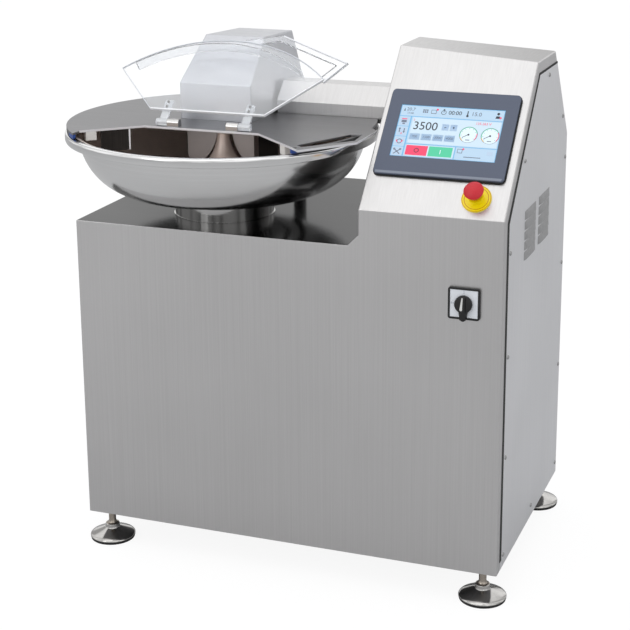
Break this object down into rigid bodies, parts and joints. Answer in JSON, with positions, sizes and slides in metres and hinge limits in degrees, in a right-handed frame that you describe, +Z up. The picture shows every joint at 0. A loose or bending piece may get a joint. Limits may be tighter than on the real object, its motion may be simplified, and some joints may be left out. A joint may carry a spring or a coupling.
{
  "type": "meat bowl cutter",
  "caption": "Floor-standing stainless steel meat bowl cutter with a turning bowl, sickle knives under a folding hood, a clear splash lid and a control tower.",
  "frame": {"origin": "on the floor under the middle of the machine's footprint", "axes": "+X to the machine's right as seen from the front, +Y to the back, +Z up"},
  "size_m": [1.011, 0.733, 1.1148],
  "materials": {
    "frame_steel": "dull bare stainless steel",
    "brushed_sheet": "vertically brushed stainless steel",
    "deck_sheet": "finely brushed stainless steel, half mirror",
    "side_sheet": "satin stainless steel",
    "cover_sheet": "finely brushed stainless steel",
    "hood_sheet": "satin stainless steel",
    "bowl_steel": "turned and polished stainless steel",
    "polished_steel": "polished stainless steel",
    "foot_steel": "polished stainless steel",
    "shaft_steel": "ground steel",
    "blade_steel": "ground blade steel",
    "bearing_steel": "ground bearing steel",
    "screw_steel": "stainless screws",
    "motor_paint": "grey enamel",
    "black_rubber": "matt black rubber",
    "blue_rubber": "blue food-grade seal",
    "black_plastic": "black moulded plastic",
    "bezel_plastic": "slate blue-grey moulding",
    "screen_glass": "lit display",
    "yellow_plastic": "yellow moulded plastic",
    "red_plastic": "red moulded plastic",
    "white_plastic": "white polyethylene",
    "silver_plate": "silver legend plate",
    "clear_plastic": "clear polycarbonate, modelled as glass"
  },
  "bodies": {
    "cabinet": {"base_frame": "frame_steel", "side_landing": "frame_steel", "spindle_bracket": "frame_steel", "cabinet_shell": "brushed_sheet", "deck_plate": "deck_sheet", "left_side_panel": "side_sheet", "rear_panel": "side_sheet", "right_side_panel": "side_sheet", "side_panel_gasket": "black_rubber", "side_panel_screws": "screw_steel", "bowl_bearing_housing": "polished_steel", "bowl_bearings": "bearing_steel", "bowl_gearmotor": "motor_paint", "knife_motor": "motor_paint", "drive_belt": "black_rubber", "spindle_housing": "polished_steel", "spindle_bearings": "bearing_steel", "spindle_seal": "black_rubber", "arm_housing": "brushed_sheet", "control_cabinet": "motor_paint", "cable_gland": "black_plastic", "panel_bezel": "bezel_plastic", "panel_screen": "screen_glass", "panel_housing": "black_plastic", "stop_ring": "yellow_plastic", "stop_body": "yellow_plastic", "switch_frame": "black_plastic", "switch_plate": "silver_plate", "switch_body": "black_plastic", "cover_hinge_posts": "polished_steel"},
    "bowl_rotor": {"bowl": "bowl_steel", "bowl_shaft": "shaft_steel"},
    "knife_rotor": {"knife_shaft": "shaft_steel", "knives": "blade_steel", "knife_spacers": "shaft_steel", "knife_nut": "shaft_steel", "knife_pulley": "shaft_steel"},
    "motor_rotor": {"motor_pulley": "shaft_steel"},
    "cover": {"cover_plate": "cover_sheet", "knife_hood": "hood_sheet", "cover_hinge_pin": "shaft_steel", "lid_hinge_barrels": "polished_steel", "bowl_scrapers": "white_plastic", "rim_seal": "blue_rubber", "side_baffles": "cover_sheet", "deflector_plate": "cover_sheet"},
    "splash_lid": {"lid_panel": "clear_plastic", "lid_skirt": "clear_plastic", "lid_hinge_straps": "clear_plastic"},
    "emergency_plunger": {"stop_plunger": "shaft_steel"},
    "emergency_head": {"stop_head": "red_plastic"},
    "main_switch_knob": {"switch_knob": "black_plastic"},
    "front_left_levelling_foot": {"front_left_foot": "foot_steel", "front_left_foot_pad": "black_rubber"},
    "front_right_levelling_foot": {"front_right_foot": "foot_steel", "front_right_foot_pad": "black_rubber"},
    "rear_left_levelling_foot": {"rear_left_foot": "foot_steel", "rear_left_foot_pad": "black_rubber"},
    "rear_right_levelling_foot": {"rear_right_foot": "foot_steel", "rear_right_foot_pad": "black_rubber"}
  },
  "joints": [
    {"name": "bowl_spin", "type": "hinge", "parent": "cabinet", "child": "bowl_rotor", "pos_m": [-0.1715, -0.0325, 0.739], "axis": [0, 0, 1], "continuous": true},
    {"name": "knife_spin", "type": "hinge", "parent": "cabinet", "child": "knife_rotor", "pos_m": [-0.1375, 0.1275, 0.952], "axis": [1, 0, 0], "continuous": true},
    {"name": "motor_spin", "type": "hinge", "parent": "cabinet", "child": "motor_rotor", "pos_m": [0.2825, 0.1275, 0.26], "axis": [1, 0, 0], "continuous": true},
    {"name": "cover_lift", "type": "hinge", "parent": "cabinet", "child": "cover", "pos_m": [-0.1815, 0.3255, 0.946], "axis": [-1, 0, 0], "range_deg": [0, 75]},
    {"name": "lid_close", "type": "hinge", "parent": "cover", "child": "splash_lid", "pos_m": [-0.1715, -0.1325, 0.948], "axis": [1, 0, 0], "range_deg": [0, 138.5]},
    {"name": "stop_push", "type": "slide", "parent": "cabinet", "child": "emergency_plunger", "axis": [0, 0.7302, -0.6833], "range_m": [0, 0.004]},
    {"name": "stop_twist", "type": "hinge", "parent": "emergency_plunger", "child": "emergency_head", "pos_m": [0.4275, -0.17875, 0.84786], "axis": [0, -0.7302, 0.6833], "range_deg": [0, 45]},
    {"name": "switch_turn", "type": "hinge", "parent": "cabinet", "child": "main_switch_knob", "pos_m": [0.4155, -0.2095, 0.6445], "axis": [0, 1, 0], "range_deg": [0, 90]},
    {"name": "front_left_foot_turn", "type": "hinge", "parent": "cabinet", "child": "front_left_levelling_foot", "pos_m": [-0.4005, -0.1755, 0.07], "axis": [0, 0, 1], "continuous": true},
    {"name": "front_right_foot_turn", "type": "hinge", "parent": "cabinet", "child": "front_right_levelling_foot", "pos_m": [0.4555, -0.1755, 0.07], "axis": [0, 0, 1], "continuous": true},
    {"name": "rear_left_foot_turn", "type": "hinge", "parent": "cabinet", "child": "rear_left_levelling_foot", "pos_m": [-0.4005, 0.3165, 0.07], "axis": [0, 0, 1], "continuous": true},
    {"name": "rear_right_foot_turn", "type": "hinge", "parent": "cabinet", "child": "rear_right_levelling_foot", "pos_m": [0.4555, 0.3165, 0.07], "axis": [0, 0, 1], "continuous": true}
  ],
  "couplings": [
    {"joint": "motor_spin", "follows": "knife_spin", "ratio": 0.8}
  ]
}
